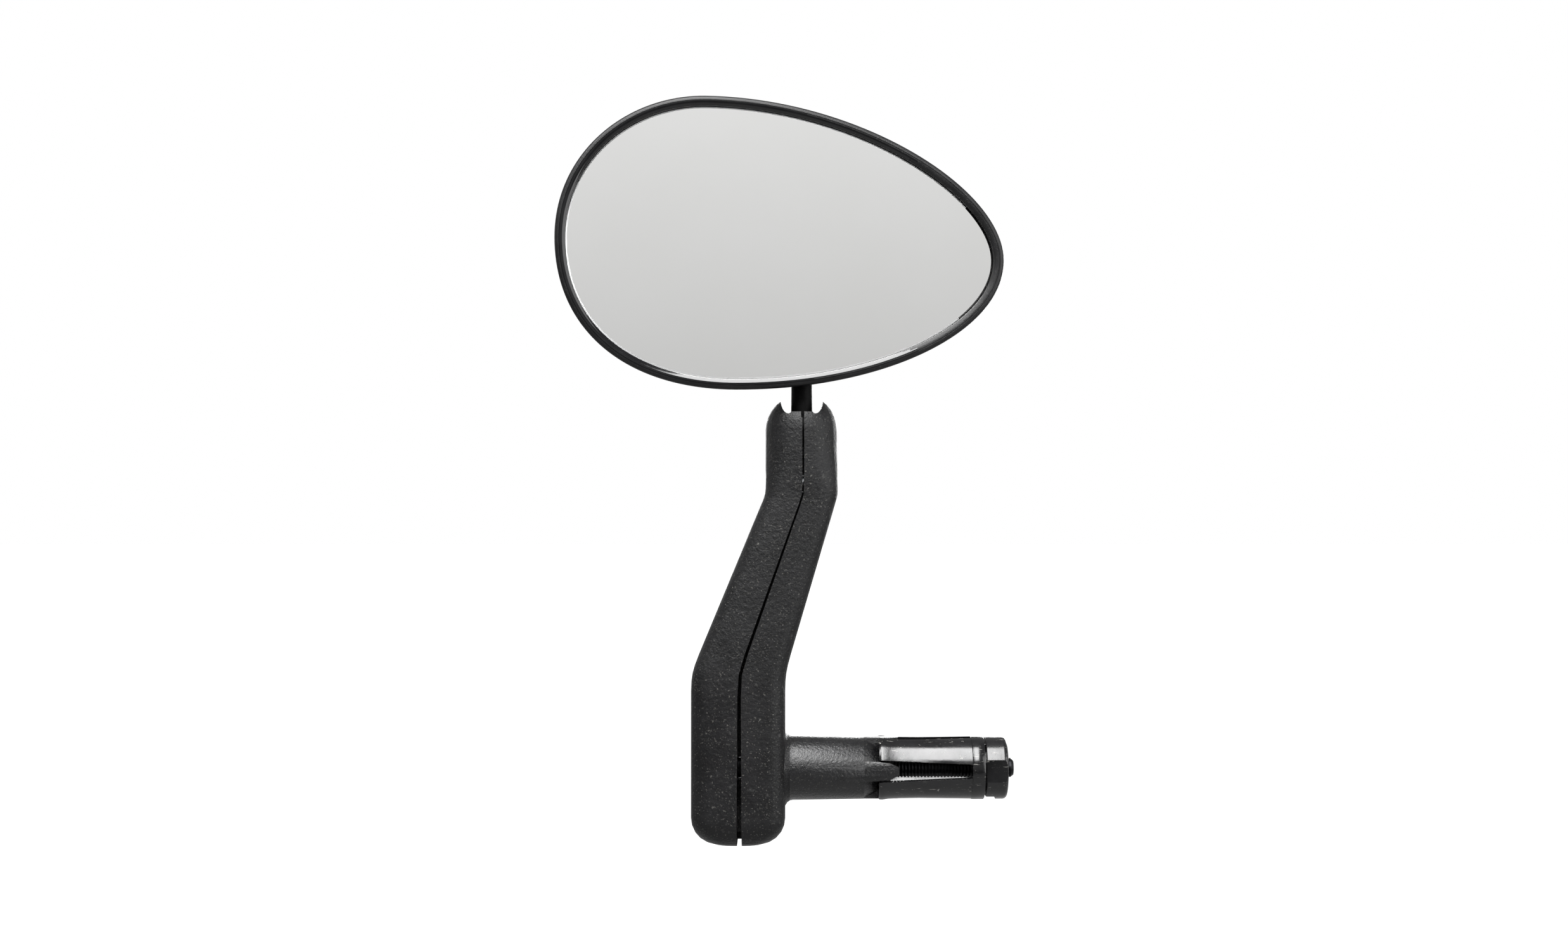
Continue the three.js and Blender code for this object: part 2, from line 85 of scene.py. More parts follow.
ball = jointPlace("head_tilt")
print("frame loaded:", len(frame["nodes"]), "nodes")


# Camera, level and square to the arm
camera = {"place": (-0.0003, -0.5, 0.0714), "lens": 47.71, "sensor": 36}

cameraData = bpy.data.cameras.new("camera")
cameraData.lens = camera["lens"]
cameraData.sensor_width = camera["sensor"]
cameraObject = bpy.data.objects.new("camera", cameraData)
cameraObject.location = camera["place"]
cameraObject.rotation_euler = (math.radians(90), 0, 0)
bpy.context.scene.collection.objects.link(cameraObject)
bpy.context.scene.camera = cameraObject


# Selecting and shaping as by hand
def deselectAll():
    for other in bpy.context.view_layer.objects:
        other.select_set(False)


def pick(obj):
    deselectAll()
    obj.select_set(True)
    bpy.context.view_layer.objects.active = obj


def edit(obj, kind="VERT"):
    pick(obj)
    bpy.ops.object.mode_set(mode="EDIT")
    bpy.ops.mesh.select_mode(type=kind)


def leaveEdit():
    bpy.ops.object.mode_set(mode="OBJECT")


# Selects the vertices, edges or faces of the piece in edit mode that pass a test
def choose(obj, kind, test):
    bpy.ops.mesh.select_mode(type={"verts": "VERT", "edges": "EDGE", "faces": "FACE"}[kind])
    bpy.ops.mesh.select_all(action="DESELECT")
    shape = bmesh.from_edit_mesh(obj.data)
    for part in getattr(shape, kind):
        if test(part):
            part.select_set(True)
    shape.select_flush_mode()
    bmesh.update_edit_mesh(obj.data)


def applyModifier(obj, kind, **settings):
    pick(obj)
    modifier = obj.modifiers.new(kind.lower(), kind)
    for key, value in settings.items():
        setattr(modifier, key, value)
    bpy.ops.object.modifier_apply(modifier=modifier.name)


def shadeByAngle(obj, degrees):
    pick(obj)
    bpy.ops.object.shade_smooth_by_angle(angle=math.radians(degrees))


# Rounds the edges that are sharper than the angle
def softenEdges(obj, radius, degrees, segments):
    shadeByAngle(obj, degrees)
    applyModifier(
        obj, "BEVEL", width=radius, segments=segments, limit_method="ANGLE",
        angle_limit=math.radians(degrees), miter_outer="MITER_ARC", use_clamp_overlap=True,
        harden_normals=True,
    )


# Shader nodes
def addNode(tree, kind, **values):
    node = tree.nodes.new(kind)
    for key, value in values.items():
        if key in node.inputs:
            node.inputs[key].default_value = value
        else:
            setattr(node, key, value)
    return node


def wire(tree, source, target):
    tree.links.new(source, target)


# Stretches the range it takes to the range it gives, and holds the ends
def rangeNode(tree, source, taken, given=(0, 1)):
    node = addNode(tree, "ShaderNodeMapRange")
    node.inputs["From Min"].default_value, node.inputs["From Max"].default_value = taken
    node.inputs["To Min"].default_value, node.inputs["To Max"].default_value = given
    wire(tree, source, node.inputs["Value"])
    return node.outputs["Result"]


def mathNode(tree, operation, first, second):
    node = addNode(tree, "ShaderNodeMath", operation=operation)
    for slot, value in zip(node.inputs, (first, second)):
        if hasattr(value, "links"):
            wire(tree, value, slot)
        else:
            slot.default_value = value
    return node.outputs[0]


# A colour mix has three inputs of each name, and the colour ones are found by their type
def mixColor(node, label):
    return next(s for s in node.inputs if s.name == label and s.type == "RGBA")


def mixResult(node):
    return next(s for s in node.outputs if s.type == "RGBA")


def newGroup(name, inputs, outputs):
    group = bpy.data.node_groups.new(name, "ShaderNodeTree")
    for label, kind, value in inputs:
        socket = group.interface.new_socket(label, in_out="INPUT", socket_type=kind)
        socket.default_value = value
    for label, kind in outputs:
        group.interface.new_socket(label, in_out="OUTPUT", socket_type=kind)
    entry = group.nodes.new("NodeGroupInput")
    leave = group.nodes.new("NodeGroupOutput")
    return group, entry, leave


# Moulded grain: a fine pebble, some broader mottling, and pale dust caught in the hollows
def grainGroup():
    group, entry, leave = newGroup(
        "mouldedGrain",
        [("Grain Scale", "NodeSocketFloat", 1900.0), ("Dust", "NodeSocketFloat", 0.5),
         ("Dark", "NodeSocketColor", (0.006, 0.006, 0.0065, 1)),
         ("Light", "NodeSocketColor", (0.012, 0.012, 0.013, 1)),
         ("Dust Color", "NodeSocketColor", (0.16, 0.155, 0.14, 1))],
        [("Color", "NodeSocketColor"), ("Height", "NodeSocketFloat"), ("Rough", "NodeSocketFloat")],
    )
    place = addNode(group, "ShaderNodeTexCoord")
    pebble = addNode(group, "ShaderNodeTexNoise", Detail=4.0, Roughness=0.62)
    wire(group, place.outputs["Object"], pebble.inputs["Vector"])
    wire(group, entry.outputs["Grain Scale"], pebble.inputs["Scale"])
    cloud = addNode(group, "ShaderNodeTexNoise", Scale=160.0, Detail=3.0, Roughness=0.6)
    wire(group, place.outputs["Object"], cloud.inputs["Vector"])
    mix = addNode(group, "ShaderNodeMix", data_type="RGBA")
    wire(group, rangeNode(group, cloud.outputs["Fac"], (0.35, 0.65)), mix.inputs["Factor"])
    wire(group, entry.outputs["Dark"], mixColor(mix, "A"))
    wire(group, entry.outputs["Light"], mixColor(mix, "B"))
    speck = addNode(group, "ShaderNodeTexNoise", Scale=2600.0, Detail=2.0)
    wire(group, place.outputs["Object"], speck.inputs["Vector"])
    sparse = rangeNode(group, speck.outputs["Fac"], (0.63, 0.74))
    dust = mathNode(group, "MULTIPLY", sparse, entry.outputs["Dust"])
    dusted = addNode(group, "ShaderNodeMix", data_type="RGBA")
    wire(group, dust, dusted.inputs["Factor"])
    wire(group, mixResult(mix), mixColor(dusted, "A"))
    wire(group, entry.outputs["Dust Color"], mixColor(dusted, "B"))
    wire(group, mixResult(dusted), leave.inputs["Color"])
    wire(group, pebble.outputs["Fac"], leave.inputs["Height"])
    wire(group, rangeNode(group, cloud.outputs["Fac"], (0.3, 0.7), (-0.05, 0.05)), leave.inputs["Rough"])
    return group


# Handling marks: fine scratches that run one way, and small pale scuffs
def wearGroup():
    group, entry, leave = newGroup(
        "handlingMarks",
        [("Stretch", "NodeSocketVector", (200.0, 2600.0, 900.0)), ("Scratches", "NodeSocketFloat", 0.5),
         ("Scuffs", "NodeSocketFloat", 0.5)],
        [("Mask", "NodeSocketFloat"), ("Height", "NodeSocketFloat")],
    )
    place = addNode(group, "ShaderNodeTexCoord")
    stretched = addNode(group, "ShaderNodeVectorMath", operation="MULTIPLY")
    wire(group, place.outputs["Object"], stretched.inputs[0])
    wire(group, entry.outputs["Stretch"], stretched.inputs[1])
    line = addNode(group, "ShaderNodeTexNoise", Scale=1.0, Detail=3.0, Roughness=0.7)
    wire(group, stretched.outputs["Vector"], line.inputs["Vector"])
    sharp = rangeNode(group, line.outputs["Fac"], (0.64, 0.72))
    lines = mathNode(group, "MULTIPLY", sharp, entry.outputs["Scratches"])
    patch = addNode(group, "ShaderNodeTexNoise", Scale=420.0, Detail=5.0, Roughness=0.7)
    wire(group, place.outputs["Object"], patch.inputs["Vector"])
    spots = rangeNode(group, patch.outputs["Fac"], (0.64, 0.71))
    patches = mathNode(group, "MULTIPLY", spots, entry.outputs["Scuffs"])
    wire(group, mathNode(group, "MAXIMUM", lines, patches), leave.inputs["Mask"])
    wire(group, line.outputs["Fac"], leave.inputs["Height"])
    return group


mouldedGrain = grainGroup()
handlingMarks = wearGroup()


def newMaterial(name, **settings):
    material = bpy.data.materials.new(name)
    material.use_nodes = True
    shader = material.node_tree.nodes["Principled BSDF"]
    for key, value in settings.items():
        shader.inputs[key.replace("_", " ")].default_value = value
    return material, material.node_tree, shader


# Black moulded plastic, from the dark and light of its mottling to the wear on its surface
def blackPlastic(name, look):
    material, tree, shader = newMaterial(name, Specular_IOR_Level=look["specular"])
    grain = addNode(tree, "ShaderNodeGroup", node_tree=mouldedGrain)
    for label in ("Dark", "Light", "Dust Color"):
        grain.inputs[label].default_value = (*look[label], 1)
    grain.inputs["Dust"].default_value = look["dust"]
    grain.inputs["Grain Scale"].default_value = look["grainScale"]
    marks = addNode(tree, "ShaderNodeGroup", node_tree=handlingMarks)
    marks.inputs["Stretch"].default_value = look["stretch"]
    marks.inputs["Scratches"].default_value = look["scratches"]
    marks.inputs["Scuffs"].default_value = look["scuffs"]
    worn = addNode(tree, "ShaderNodeMix", data_type="RGBA")
    wire(tree, marks.outputs["Mask"], worn.inputs["Factor"])
    wire(tree, grain.outputs["Color"], mixColor(worn, "A"))
    mixColor(worn, "B").default_value = (*look["wornTo"], 1)
    wire(tree, mixResult(worn), shader.inputs["Base Color"])
    relief = addNode(tree, "ShaderNodeBump", Strength=look["bump"], Distance=look["bumpDepth"])
    wire(tree, grain.outputs["Height"], relief.inputs["Height"])
    wire(tree, relief.outputs["Normal"], shader.inputs["Normal"])
    rough = mathNode(tree, "ADD", grain.outputs["Rough"], look["roughness"])
    added = mathNode(tree, "MULTIPLY", marks.outputs["Mask"], look["wornRoughness"])
    wire(tree, mathNode(tree, "ADD", rough, added), shader.inputs["Roughness"])
    return material


plainBlack = {
    "Dark": (0.0016, 0.0016, 0.0018), "Light": (0.0030, 0.0030, 0.0033), "Dust Color": (0.10, 0.097, 0.088),
    "dust": 0.45, "grainScale": 1150.0, "specular": 0.17, "roughness": 0.47, "bump": 0.75,
    "stretch": (500.0, 1400.0, 900.0), "scratches": 0.0, "scuffs": 0.0, "wornTo": (0.05, 0.05, 0.048),
    "wornRoughness": 0.3, "bumpDepth": 0.0003,
}
armPlastic = blackPlastic("armPlastic", {**plainBlack, "scuffs": 0.35})
housingPlastic = blackPlastic("housingPlastic", {
    **plainBlack, "roughness": 0.42, "bump": 0.16, "grainScale": 3200.0, "dust": 0.12, "specular": 0.2,
})
slopePlastic = blackPlastic("slopePlastic", {
    **plainBlack, "roughness": 0.09, "bump": 0.004, "dust": 0.01, "specular": 0.28,
})
sleevePlastic = blackPlastic("sleevePlastic", {
    **plainBlack, "roughness": 0.2, "bump": 0.05, "dust": 0.06, "specular": 0.32,
    "stretch": (260.0, 2400.0, 2400.0), "scratches": 0.6, "scuffs": 0.9, "wornTo": (0.22, 0.215, 0.2),
})
# The stalk's copy of the black plastic is darker and duller than the housing's: painted shade for the shadow
# the housing casts over it
stalkPlastic = blackPlastic("stalkPlastic", {
    **plainBlack, "Dark": (0.0012, 0.0012, 0.0013), "Light": (0.002, 0.002, 0.0021), "specular": 0.05,
    "roughness": 0.55, "bump": 0.2, "dust": 0.05,
})
neckPlastic = blackPlastic("neckPlastic", {
    **plainBlack, "roughness": 0.29, "bump": 0.6, "grainScale": 1500.0, "specular": 0.3, "dust": 0.3,
})
cupPlastic = blackPlastic("cupPlastic", {
    **plainBlack, "Dark": (0.016, 0.017, 0.019), "Light": (0.022, 0.023, 0.025),
    "roughness": 0.4, "bump": 0.1,
})
rubber = blackPlastic("rubber", {
    **plainBlack, "Dark": (0.01, 0.01, 0.01), "Light": (0.015, 0.015, 0.015), "roughness": 0.85, "bump": 0.8,
    "specular": 0.2,
})


# Metal with fine marks along one way and a mottled tone
def brushedMetal(name, look):
    material, tree, shader = newMaterial(name, Metallic=1.0)
    marks = addNode(tree, "ShaderNodeGroup", node_tree=handlingMarks)
    marks.inputs["Stretch"].default_value = look["stretch"]
    tone = addNode(tree, "ShaderNodeMix", data_type="RGBA")
    wire(tree, rangeNode(tree, marks.outputs["Height"], look["marks"]), tone.inputs["Factor"])
    mixColor(tone, "A").default_value = (*look["dark"], 1)
    mixColor(tone, "B").default_value = (*look["light"], 1)
    wire(tree, mixResult(tone), shader.inputs["Base Color"])
    rough = rangeNode(tree, marks.outputs["Height"], look["marks"], look["roughness"])
    wire(tree, rough, shader.inputs["Roughness"])
    relief = addNode(tree, "ShaderNodeBump", Strength=look["bump"], Distance=look["bumpDepth"])
    wire(tree, marks.outputs["Height"], relief.inputs["Height"])
    wire(tree, relief.outputs["Normal"], shader.inputs["Normal"])
    return material


plainSteel = {"stretch": (300.0, 3000.0, 3000.0), "marks": (0.3, 0.7), "bump": 0.12, "bumpDepth": 0.00005}
zincSteel = brushedMetal("zincSteel", {
    **plainSteel, "dark": (0.36, 0.37, 0.385), "light": (0.52, 0.53, 0.54), "roughness": (0.26, 0.4),
})
blackSteel = brushedMetal("blackSteel", {
    **plainSteel, "dark": (0.006, 0.0062, 0.0068), "light": (0.016, 0.0163, 0.0172),
    "roughness": (0.34, 0.48),
})


# A finish whose tone and gloss drift a little over the surface
def driftingFinish(name, look):
    material, tree, shader = newMaterial(name, Metallic=look["metallic"])
    place = addNode(tree, "ShaderNodeTexCoord")
    drift = addNode(tree, "ShaderNodeTexNoise", Scale=look["scale"], Detail=4.0, Roughness=look["noise"])
    wire(tree, place.outputs["Object"], drift.inputs["Vector"])
    tone = addNode(tree, "ShaderNodeMix", data_type="RGBA")
    wire(tree, rangeNode(tree, drift.outputs["Fac"], (0.35, 0.65)), tone.inputs["Factor"])
    mixColor(tone, "A").default_value = (*look["dark"], 1)
    mixColor(tone, "B").default_value = (*look["light"], 1)
    wire(tree, mixResult(tone), shader.inputs["Base Color"])
    rough = rangeNode(tree, drift.outputs["Fac"], (0.3, 0.7), look["roughness"])
    wire(tree, rough, shader.inputs["Roughness"])
    return material


# The silvered glass has a faint film over it, and its ground edge is frosted
silver = driftingFinish("silver", {
    "metallic": 1.0, "scale": 38.0, "noise": 0.6, "roughness": (0.015, 0.035),
    "dark": (0.875, 0.875, 0.862), "light": (0.89, 0.89, 0.88),
})
groundGlass = driftingFinish("groundGlass", {
    "metallic": 0.0, "scale": 2200.0, "noise": 0.7, "roughness": (0.5, 0.58),
    "dark": (0.86, 0.87, 0.87), "light": (0.92, 0.92, 0.92),
})
print("materials made")


# The mirror head, in mm
head = {
    # the rim's widest line in the front view: each point with the handle before and after it
    "outline": [
        ((-19.5, 159.9), (-38.3, 159.9), (17.2, 159.9)),
        ((51.8, 121.5), (51.8, 138.7), (51.8, 104.6)),
        ((-12.3, 90.5), (23.5, 90.5), (-38.4, 90.5)),
        ((-55.0, 126.2), (-55.0, 104.4), (-55.0, 145.9)),
    ],
    "points": 44,            # along each of the four curves
    "weld": 1e-7,            # in metres, joins the ends of the curves
    "centre": (-2.0, 125.0),
    "yaw": 4.5,              # degrees about the stalk
    "widest": -7.2,          # how far forward the widest line lies
    "outerRound": 1.0,
    "crease": (0.1, 0.1),    # width and depth of the fine groove round the crest
    "innerRound": 1.8,
    "innerTurn": 41,         # degrees that the polished slope turns through
    "roundSteps": 6,
    "smoothBelow": 40,       # degrees between faces that still shade as one
    "lip": (0.04, 0.12),     # the small step at the foot of the slope
    "wallTop": 0.3,          # how far below the slope the inner wall starts
    "wall": (2.36, -3.9),    # inset and depth of the foot of the inner wall
    "ledge": (4.7, -3.9),
    "ledgeShare": 0.91,      # the ledge's inner edge, as a share of the outline
    "sides": [(0.996, -5.2), (0.985, -3.0), (0.977, -1.4), (0.965, 0.0)],
    "dome": {"depth": 12.0, "fullness": 0.84, "steps": 26, "turn": 89},  # the bowed back
    "inside": [(0.905, 0.0), (0.85, 3.0), (0.75, 5.6), (0.58, 7.9), (0.33, 9.4), (0.04, 9.8)],
}
glass = {
    "inset": 2.52, "ground": 0.36, "bevel": 0.3, "front": -7.4, "thickness": 1.9, "bulge": 1 / 2000,
    "frontShares": (0.92, 0.8, 0.65, 0.5, 0.35, 0.2, 0.06), "backShares": (1, 0.8, 0.6, 0.4, 0.2, 0.06),
    "groundLean": 0.93, "groundDepth": 4.2,  # ground where a face turns this far from Y, near the front
    "smoothBelow": 25,
}

headCentre = Vector((head["centre"][0], 0, head["centre"][1])) * mm


# The outline as one flat face that looks towards the rider
def outlineFace(name, depth):
    deselectAll()
    bpy.ops.curve.primitive_bezier_circle_add(radius=0.01)
    curve = bpy.context.object
    curve.data.resolution_u = head["points"]
    for point, (place, before, after) in zip(curve.data.splines[0].bezier_points, head["outline"]):
        point.handle_left_type = "FREE"
        point.handle_right_type = "FREE"
        point.co = (place[0] * mm, 0, place[1] * mm)
        point.handle_left = (before[0] * mm, 0, before[1] * mm)
        point.handle_right = (after[0] * mm, 0, after[1] * mm)
    curve.data.dimensions = "3D"
    bpy.ops.object.convert(target="MESH")
    piece = bpy.context.object
    piece.name = name
    piece.data.name = name
    edit(piece, "EDGE")
    bpy.ops.mesh.select_all(action="SELECT")
    bpy.ops.mesh.remove_doubles(threshold=head["weld"])
    bpy.ops.mesh.edge_face_add()
    bpy.ops.transform.translate(value=(0, depth * mm, 0))
    if not facesFront(piece):
        bpy.ops.mesh.flip_normals()
    return piece


def facesFront(piece):
    shape = bmesh.from_edit_mesh(piece.data)
    shape.faces.ensure_lookup_table()
    shape.faces[0].normal_update()
    return shape.faces[0].normal.y < 0


# Pushes the selected face in by steps given as [inset, depth] pairs from the outline
def insetSteps(steps, inset, depth):
    for nextInset, nextDepth in steps:
        bpy.ops.mesh.inset(
            thickness=(nextInset - inset) * mm, depth=(depth - nextDepth) * mm,
            use_boundary=True, use_even_offset=True,
        )
        inset, depth = nextInset, nextDepth


# Draws the selected loop or face on by steps given as [share of the outline, depth] pairs
def shrinkSteps(steps, share, depth):
    for nextShare, nextDepth in steps:
        bpy.ops.mesh.extrude_region_move(
            TRANSFORM_OT_translate={"value": (0, (nextDepth - depth) * mm, 0)},
        )
        ratio = nextShare / share
        bpy.ops.transform.resize(value=(ratio, 1, ratio), center_override=headCentre)
        share, depth = nextShare, nextDepth


# Steps round the bowed back, from its edge to close to its middle
def domeSteps(edgeShare):
    dome = head["dome"]
    steps = []
    for i in range(1, dome["steps"] + 1):
        turn = math.radians(dome["turn"]) * i / dome["steps"]
        steps.append((edgeShare * math.cos(turn) ** dome["fullness"], dome["depth"] * math.sin(turn)))
    return steps


def turnHead(piece):
    leaveEdit()
    pivot = Matrix.Translation((ball.x, 0, 0))
    piece.matrix_world = pivot @ Matrix.Rotation(math.radians(head["yaw"]), 4, "Z") @ pivot.inverted()
    pick(piece)
    bpy.ops.object.transform_apply(location=True, rotation=True, scale=True)


def makeHousing():
    piece = outlineFace("housing", head["widest"])
    steps = []
    for i in range(1, head["roundSteps"] + 1):
        turn = math.radians(90) * i / head["roundSteps"]
        inset = head["outerRound"] * (1 - math.cos(turn))
        steps.append((inset, head["widest"] - head["outerRound"] * math.sin(turn)))
    crest = head["widest"] - head["outerRound"]
    width, depth = head["crease"]
    groove = head["outerRound"] + width
    steps += [(groove, crest + depth), (groove + width / 2, crest + depth)]
    for i in range(head["roundSteps"] + 1):
        turn = math.radians(head["innerTurn"]) * i / head["roundSteps"]
        inset = groove + width + head["innerRound"] * math.sin(turn)
        steps.append((inset, crest + head["innerRound"] * (1 - math.cos(turn))))
    footInset, footDepth = steps[-1]
    steps.append((footInset + head["lip"][0], footDepth + head["lip"][1]))
    steps += [(head["wall"][0], footDepth + head["wallTop"]), head["wall"], head["ledge"]]
    insetSteps(steps, 0, head["widest"])
    shrinkSteps(head["inside"], head["ledgeShare"], head["ledge"][1])
    # the outer side, from the widest line round to the back
    choose(piece, "edges", lambda e: e.is_boundary)
    shrinkSteps(head["sides"] + domeSteps(head["sides"][-1][0]), 1, head["widest"])
    bpy.ops.mesh.edge_face_add()
    bpy.ops.mesh.select_all(action="SELECT")
    bpy.ops.mesh.normals_make_consistent(inside=False)
    turnHead(piece)
    return piece


# The polished slope faces the rider, leans inwards, and lies towards the front
slope = {"facing": -0.2, "lean": 0.04, "inFrontOf": -6}


def onSlope(place, normal):
    inwards = headCentre - Vector((place.x, 0, place.z))
    leans = inwards.normalized().dot(Vector((normal.x, 0, normal.z)))
    return normal.y < slope["facing"] and leans > slope["lean"] and place.y < slope["inFrontOf"] * mm


housing = makeHousing()
print("housing made:", len(housing.data.polygons))


def makeGlass():
    piece = outlineFace("glass", glass["front"] + glass["bevel"])
    bpy.ops.mesh.inset(thickness=glass["inset"] * mm, use_boundary=True)
    choose(piece, "faces", lambda f: len(f.verts) == 4)  # the band outside the glass
    bpy.ops.mesh.delete(type="FACE")
    choose(piece, "verts", lambda v: not v.link_faces)
    bpy.ops.mesh.delete(type="VERT")
    choose(piece, "faces", lambda f: True)
    bpy.ops.mesh.inset(thickness=glass["ground"] * mm, depth=glass["bevel"] * mm, use_boundary=True)
    shrinkSteps([(share, glass["front"]) for share in glass["frontShares"]], 1, glass["front"])
    choose(piece, "edges", lambda e: e.is_boundary)
    back = glass["front"] + glass["thickness"]
    shrinkSteps([(share, back) for share in glass["backShares"]], 1, glass["front"] + glass["bevel"])
    bpy.ops.mesh.edge_face_add()
    bpy.ops.mesh.select_all(action="SELECT")
    bpy.ops.mesh.normals_make_consistent(inside=False)
    leaveEdit()
    for vertex in piece.data.vertices:  # bows the glass back towards its edge
        away = (Vector((vertex.co.x, 0, vertex.co.z)) - headCentre).length / mm
        vertex.co.y += away ** 2 * glass["bulge"] * mm
    turnHead(piece)
    return piece


mirror = makeGlass()
print("glass made:", len(mirror.data.polygons))


# Skins over the CAD pieces: doubles merged, flat areas joined up, and sharp edges rounded
skinShape = {"weld": 2e-6, "flatWithin": 0.6, "sharp": 38, "segments": 2}


def skinOf(node, radius, degrees):
    source = frame["nodes"][node]
    piece = bpy.data.objects.new(node + "_skin", source.data.copy())
    bpy.context.scene.collection.objects.link(piece)
    piece.data.materials.clear()
    edit(piece)
    bpy.ops.mesh.select_all(action="SELECT")
    bpy.ops.mesh.remove_doubles(threshold=skinShape["weld"])
    bpy.ops.mesh.dissolve_limited(angle_limit=math.radians(skinShape["flatWithin"]))
    leaveEdit()
    softenEdges(piece, radius * mm, degrees, skinShape["segments"])
    return piece


# Gives the second finish to the faces that pass a test
def finishFaces(obj, test):
    for face in obj.data.polygons:
        if test(face):
            face.material_index = 1


# Each piece: how far its edges are rounded, its finish and its slot
skins = {
    "outer_shell": (0.18, armPlastic, "grained_plastic"), "plug_shell": (0.18, armPlastic, "grained_plastic"),
    "clamp_washer": (0.1, zincSteel, "zinc_steel"), "clamp_nut": (0.15, zincSteel, "zinc_steel"),
    "expander_washer": (0.1, zincSteel, "zinc_steel"),
    "outer_ball_cup": (0.1, cupPlastic, "cup_plastic"), "inner_ball_cup": (0.1, cupPlastic, "cup_plastic"),
    "ball_stalk": (0.1, stalkPlastic, "gloss_plastic"), "glass_backing": (0.1, rubber, "backing_rubber"),
    "expander_finger_1": (0.15, sleevePlastic, "gloss_plastic"),
    "expander_finger_2": (0.15, sleevePlastic, "gloss_plastic"),
    "expander_finger_3": (0.15, sleevePlastic, "gloss_plastic"),
    "expander_finger_4": (0.15, sleevePlastic, "gloss_plastic"),
    "expander_ring": (0.1, sleevePlastic, "gloss_plastic"), "end_cap": (0.12, sleevePlastic, "gloss_plastic"),
    "end_washer": (0.1, zincSteel, "zinc_steel"), "end_nut": (0.15, zincSteel, "zinc_steel"),
    "clamp_screw": (0.1, zincSteel, "zinc_steel"), "expander_screw": (0.05, blackSteel, "black_steel"),
}
bodyOf = {}
for bodyName, members in record["behaviour"]["bodies"].items():
    for member in members:
        bodyOf[member] = bodyName

fineAngles = {"end_cap": 15}  # its flats meet the round side at a shallow angle
neck = {"start": 1.2, "halfHeight": 9}  # the glossier part of the plug's shell

# Draws a finger's root back to the ring it grows out of, and cuts rows across its first few millimetres
sleeve = {"root": 44.0, "reach": 0.3, "bendEnd": 38.0, "bendRows": range(39, 44)}


def growFromRing(piece):
    edit(piece)
    choose(piece, "verts", lambda v: v.co.x > sleeve["root"] * mm)
    bpy.ops.transform.translate(value=(sleeve["reach"] * mm, 0, 0))
    for place in sleeve["bendRows"]:
        bpy.ops.mesh.select_all(action="SELECT")
        bpy.ops.mesh.bisect(plane_co=(place * mm, 0, 0), plane_no=(1, 0, 0))
    leaveEdit()
    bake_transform(piece)


for node, (radius, material, slot) in skins.items():
    piece = skinOf(node, radius, fineAngles.get(node, skinShape["sharp"]))
    piece.data.materials.append(material)
    if node == "plug_shell":
        piece.data.materials.append(neckPlastic)
        finishFaces(
            piece,
            lambda f: f.center.x > neck["start"] * mm and abs(f.center.z) < neck["halfHeight"] * mm,
        )
    if node.startswith("expander_finger"):
        growFromRing(piece)
    else:
        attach(piece, bodyOf[node])
    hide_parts(node)
print("skins made")


housing.data.materials.append(housingPlastic)
housing.data.materials.append(slopePlastic)
finishFaces(housing, lambda f: onSlope(f.center, f.normal))
shadeByAngle(housing, head["smoothBelow"])
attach(housing, "head")
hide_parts("mirror_housing")

mirror.data.materials.append(silver)
mirror.data.materials.append(groundGlass)
groundEnd = (glass["front"] + glass["groundDepth"]) * mm
finishFaces(mirror, lambda f: abs(f.normal.y) < glass["groundLean"] and f.center.y < groundEnd)
shadeByAngle(mirror, glass["smoothBelow"])
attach(mirror, "head")
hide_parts("mirror_glass")


# Floor, light and surroundings
studio = {
    "floorDrop": 0.25,       # below the arm's foot
    "floorBehind": 4.0,      # how far back its middle lies
    "floorSize": (12, 10),
    "paper": (0.22, 0.22, 0.22),
    "tooth": 1.05,           # how much lighter the paper is at its lightest
    "paperGlow": 0.97,
    "aim": (0, 0, 0.07),     # where the lamps point
    "key": {"angle": (0, 57), "distance": 0.9, "size": (0.42, 0.9), "radiance": 30},
    "left": {"angle": (-56, 52), "distance": 0.9, "size": (0.3, 0.4), "radiance": 26},
    "fill": {"angle": (62, 12), "distance": 1.0, "size": (0.8, 1.0), "radiance": 5},
    "back": {"angle": (170, 5), "distance": 1.3, "size": (1.0, 0.26), "radiance": 18},
    # tone of the surroundings by height, from straight down (-1) to straight up (1)
    "sky": [
        (-1.0, 1.1), (-0.5, 0.9), (-0.36, 0.3), (-0.08, 0.22), (-0.035, 0.62),
        (0.25, 0.84), (0.45, 0.4), (0.9, 0.4), (1.0, 0.8),
    ],
}


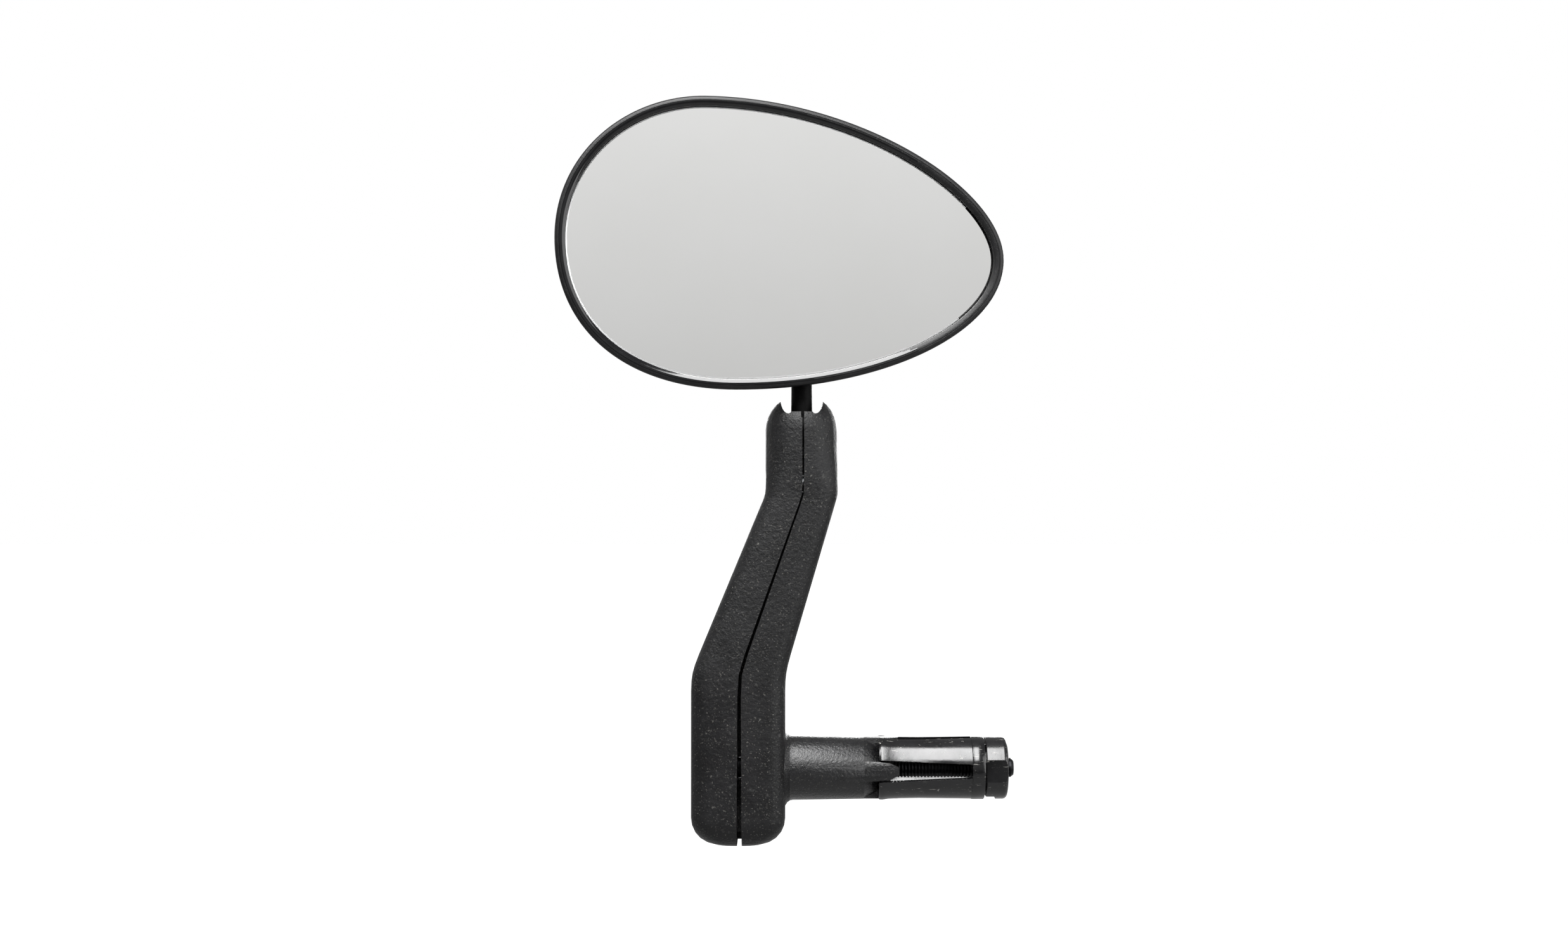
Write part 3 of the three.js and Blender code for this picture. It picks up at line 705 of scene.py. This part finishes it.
# Seamless paper with a faint tooth: white to the camera, but dull in what it gives to the object
def makeFloorPaint():
    material, tree, shader = newMaterial("floorPaper", Roughness=0.9)
    place = addNode(tree, "ShaderNodeTexCoord")
    tooth = addNode(tree, "ShaderNodeTexNoise", Scale=60.0, Detail=4.0, Roughness=0.6)
    wire(tree, place.outputs["Object"], tooth.inputs["Vector"])
    tone = addNode(tree, "ShaderNodeMix", data_type="RGBA")
    wire(tree, tooth.outputs["Fac"], tone.inputs["Factor"])
    mixColor(tone, "A").default_value = (*studio["paper"], 1)
    mixColor(tone, "B").default_value = (*(value * studio["tooth"] for value in studio["paper"]), 1)
    wire(tree, mixResult(tone), shader.inputs["Base Color"])
    shader.inputs["Emission Color"].default_value = (1, 1, 1, 1)
    path = addNode(tree, "ShaderNodeLightPath")
    wire(
        tree, mathNode(tree, "MULTIPLY", path.outputs["Is Camera Ray"], studio["paperGlow"]),
        shader.inputs["Emission Strength"],
    )
    return material


deselectAll()
floorPlace = (0, studio["floorBehind"], cadLow.z - studio["floorDrop"])
bpy.ops.mesh.primitive_plane_add(size=1, location=floorPlace)
floor = bpy.context.object
floor.name = "floor"
floor.scale = (*studio["floorSize"], 1)
floor.data.materials.append(makeFloorPaint())


def direction(azimuth, elevation):
    across, up = math.radians(azimuth), math.radians(elevation)
    return Vector((math.sin(across) * math.cos(up), -math.cos(across) * math.cos(up), math.sin(up)))


def softbox(name, angle, distance, size, radiance):
    data = bpy.data.lights.new(name, "AREA")
    data.shape = "RECTANGLE"
    data.size, data.size_y = size
    data.energy = radiance * math.pi * size[0] * size[1]
    lamp = bpy.data.objects.new(name, data)
    towards = direction(*angle)
    lamp.location = Vector(studio["aim"]) + towards * distance
    lamp.rotation_euler = towards.to_track_quat("Z", "Y").to_euler()
    bpy.context.scene.collection.objects.link(lamp)


for name in ("key", "left", "fill", "back"):
    softbox(name, **studio[name])

world = bpy.data.worlds.new("studio")
bpy.context.scene.world = world
world.use_nodes = True
sky = world.node_tree
place = addNode(sky, "ShaderNodeTexCoord")
split = addNode(sky, "ShaderNodeSeparateXYZ")
wire(sky, place.outputs["Generated"], split.inputs["Vector"])
ramp = addNode(sky, "ShaderNodeValToRGB")
elements = ramp.color_ramp.elements
while len(elements) < len(studio["sky"]):
    elements.new(0.5)
for element, (height, value) in zip(elements, studio["sky"]):
    element.position = (height + 1) / 2
    element.color = (value, value, value, 1)
wire(sky, rangeNode(sky, split.outputs["Z"], (-1, 1)), ramp.inputs["Fac"])
path = addNode(sky, "ShaderNodeLightPath")
seen = addNode(sky, "ShaderNodeMix", data_type="RGBA")
wire(sky, path.outputs["Is Camera Ray"], seen.inputs["Factor"])
wire(sky, ramp.outputs["Color"], mixColor(seen, "A"))
mixColor(seen, "B").default_value = (1, 1, 1, 1)
wire(sky, mixResult(seen), sky.nodes["Background"].inputs["Color"])
bpy.context.scene.view_settings.view_transform = "Standard"
print("studio made")
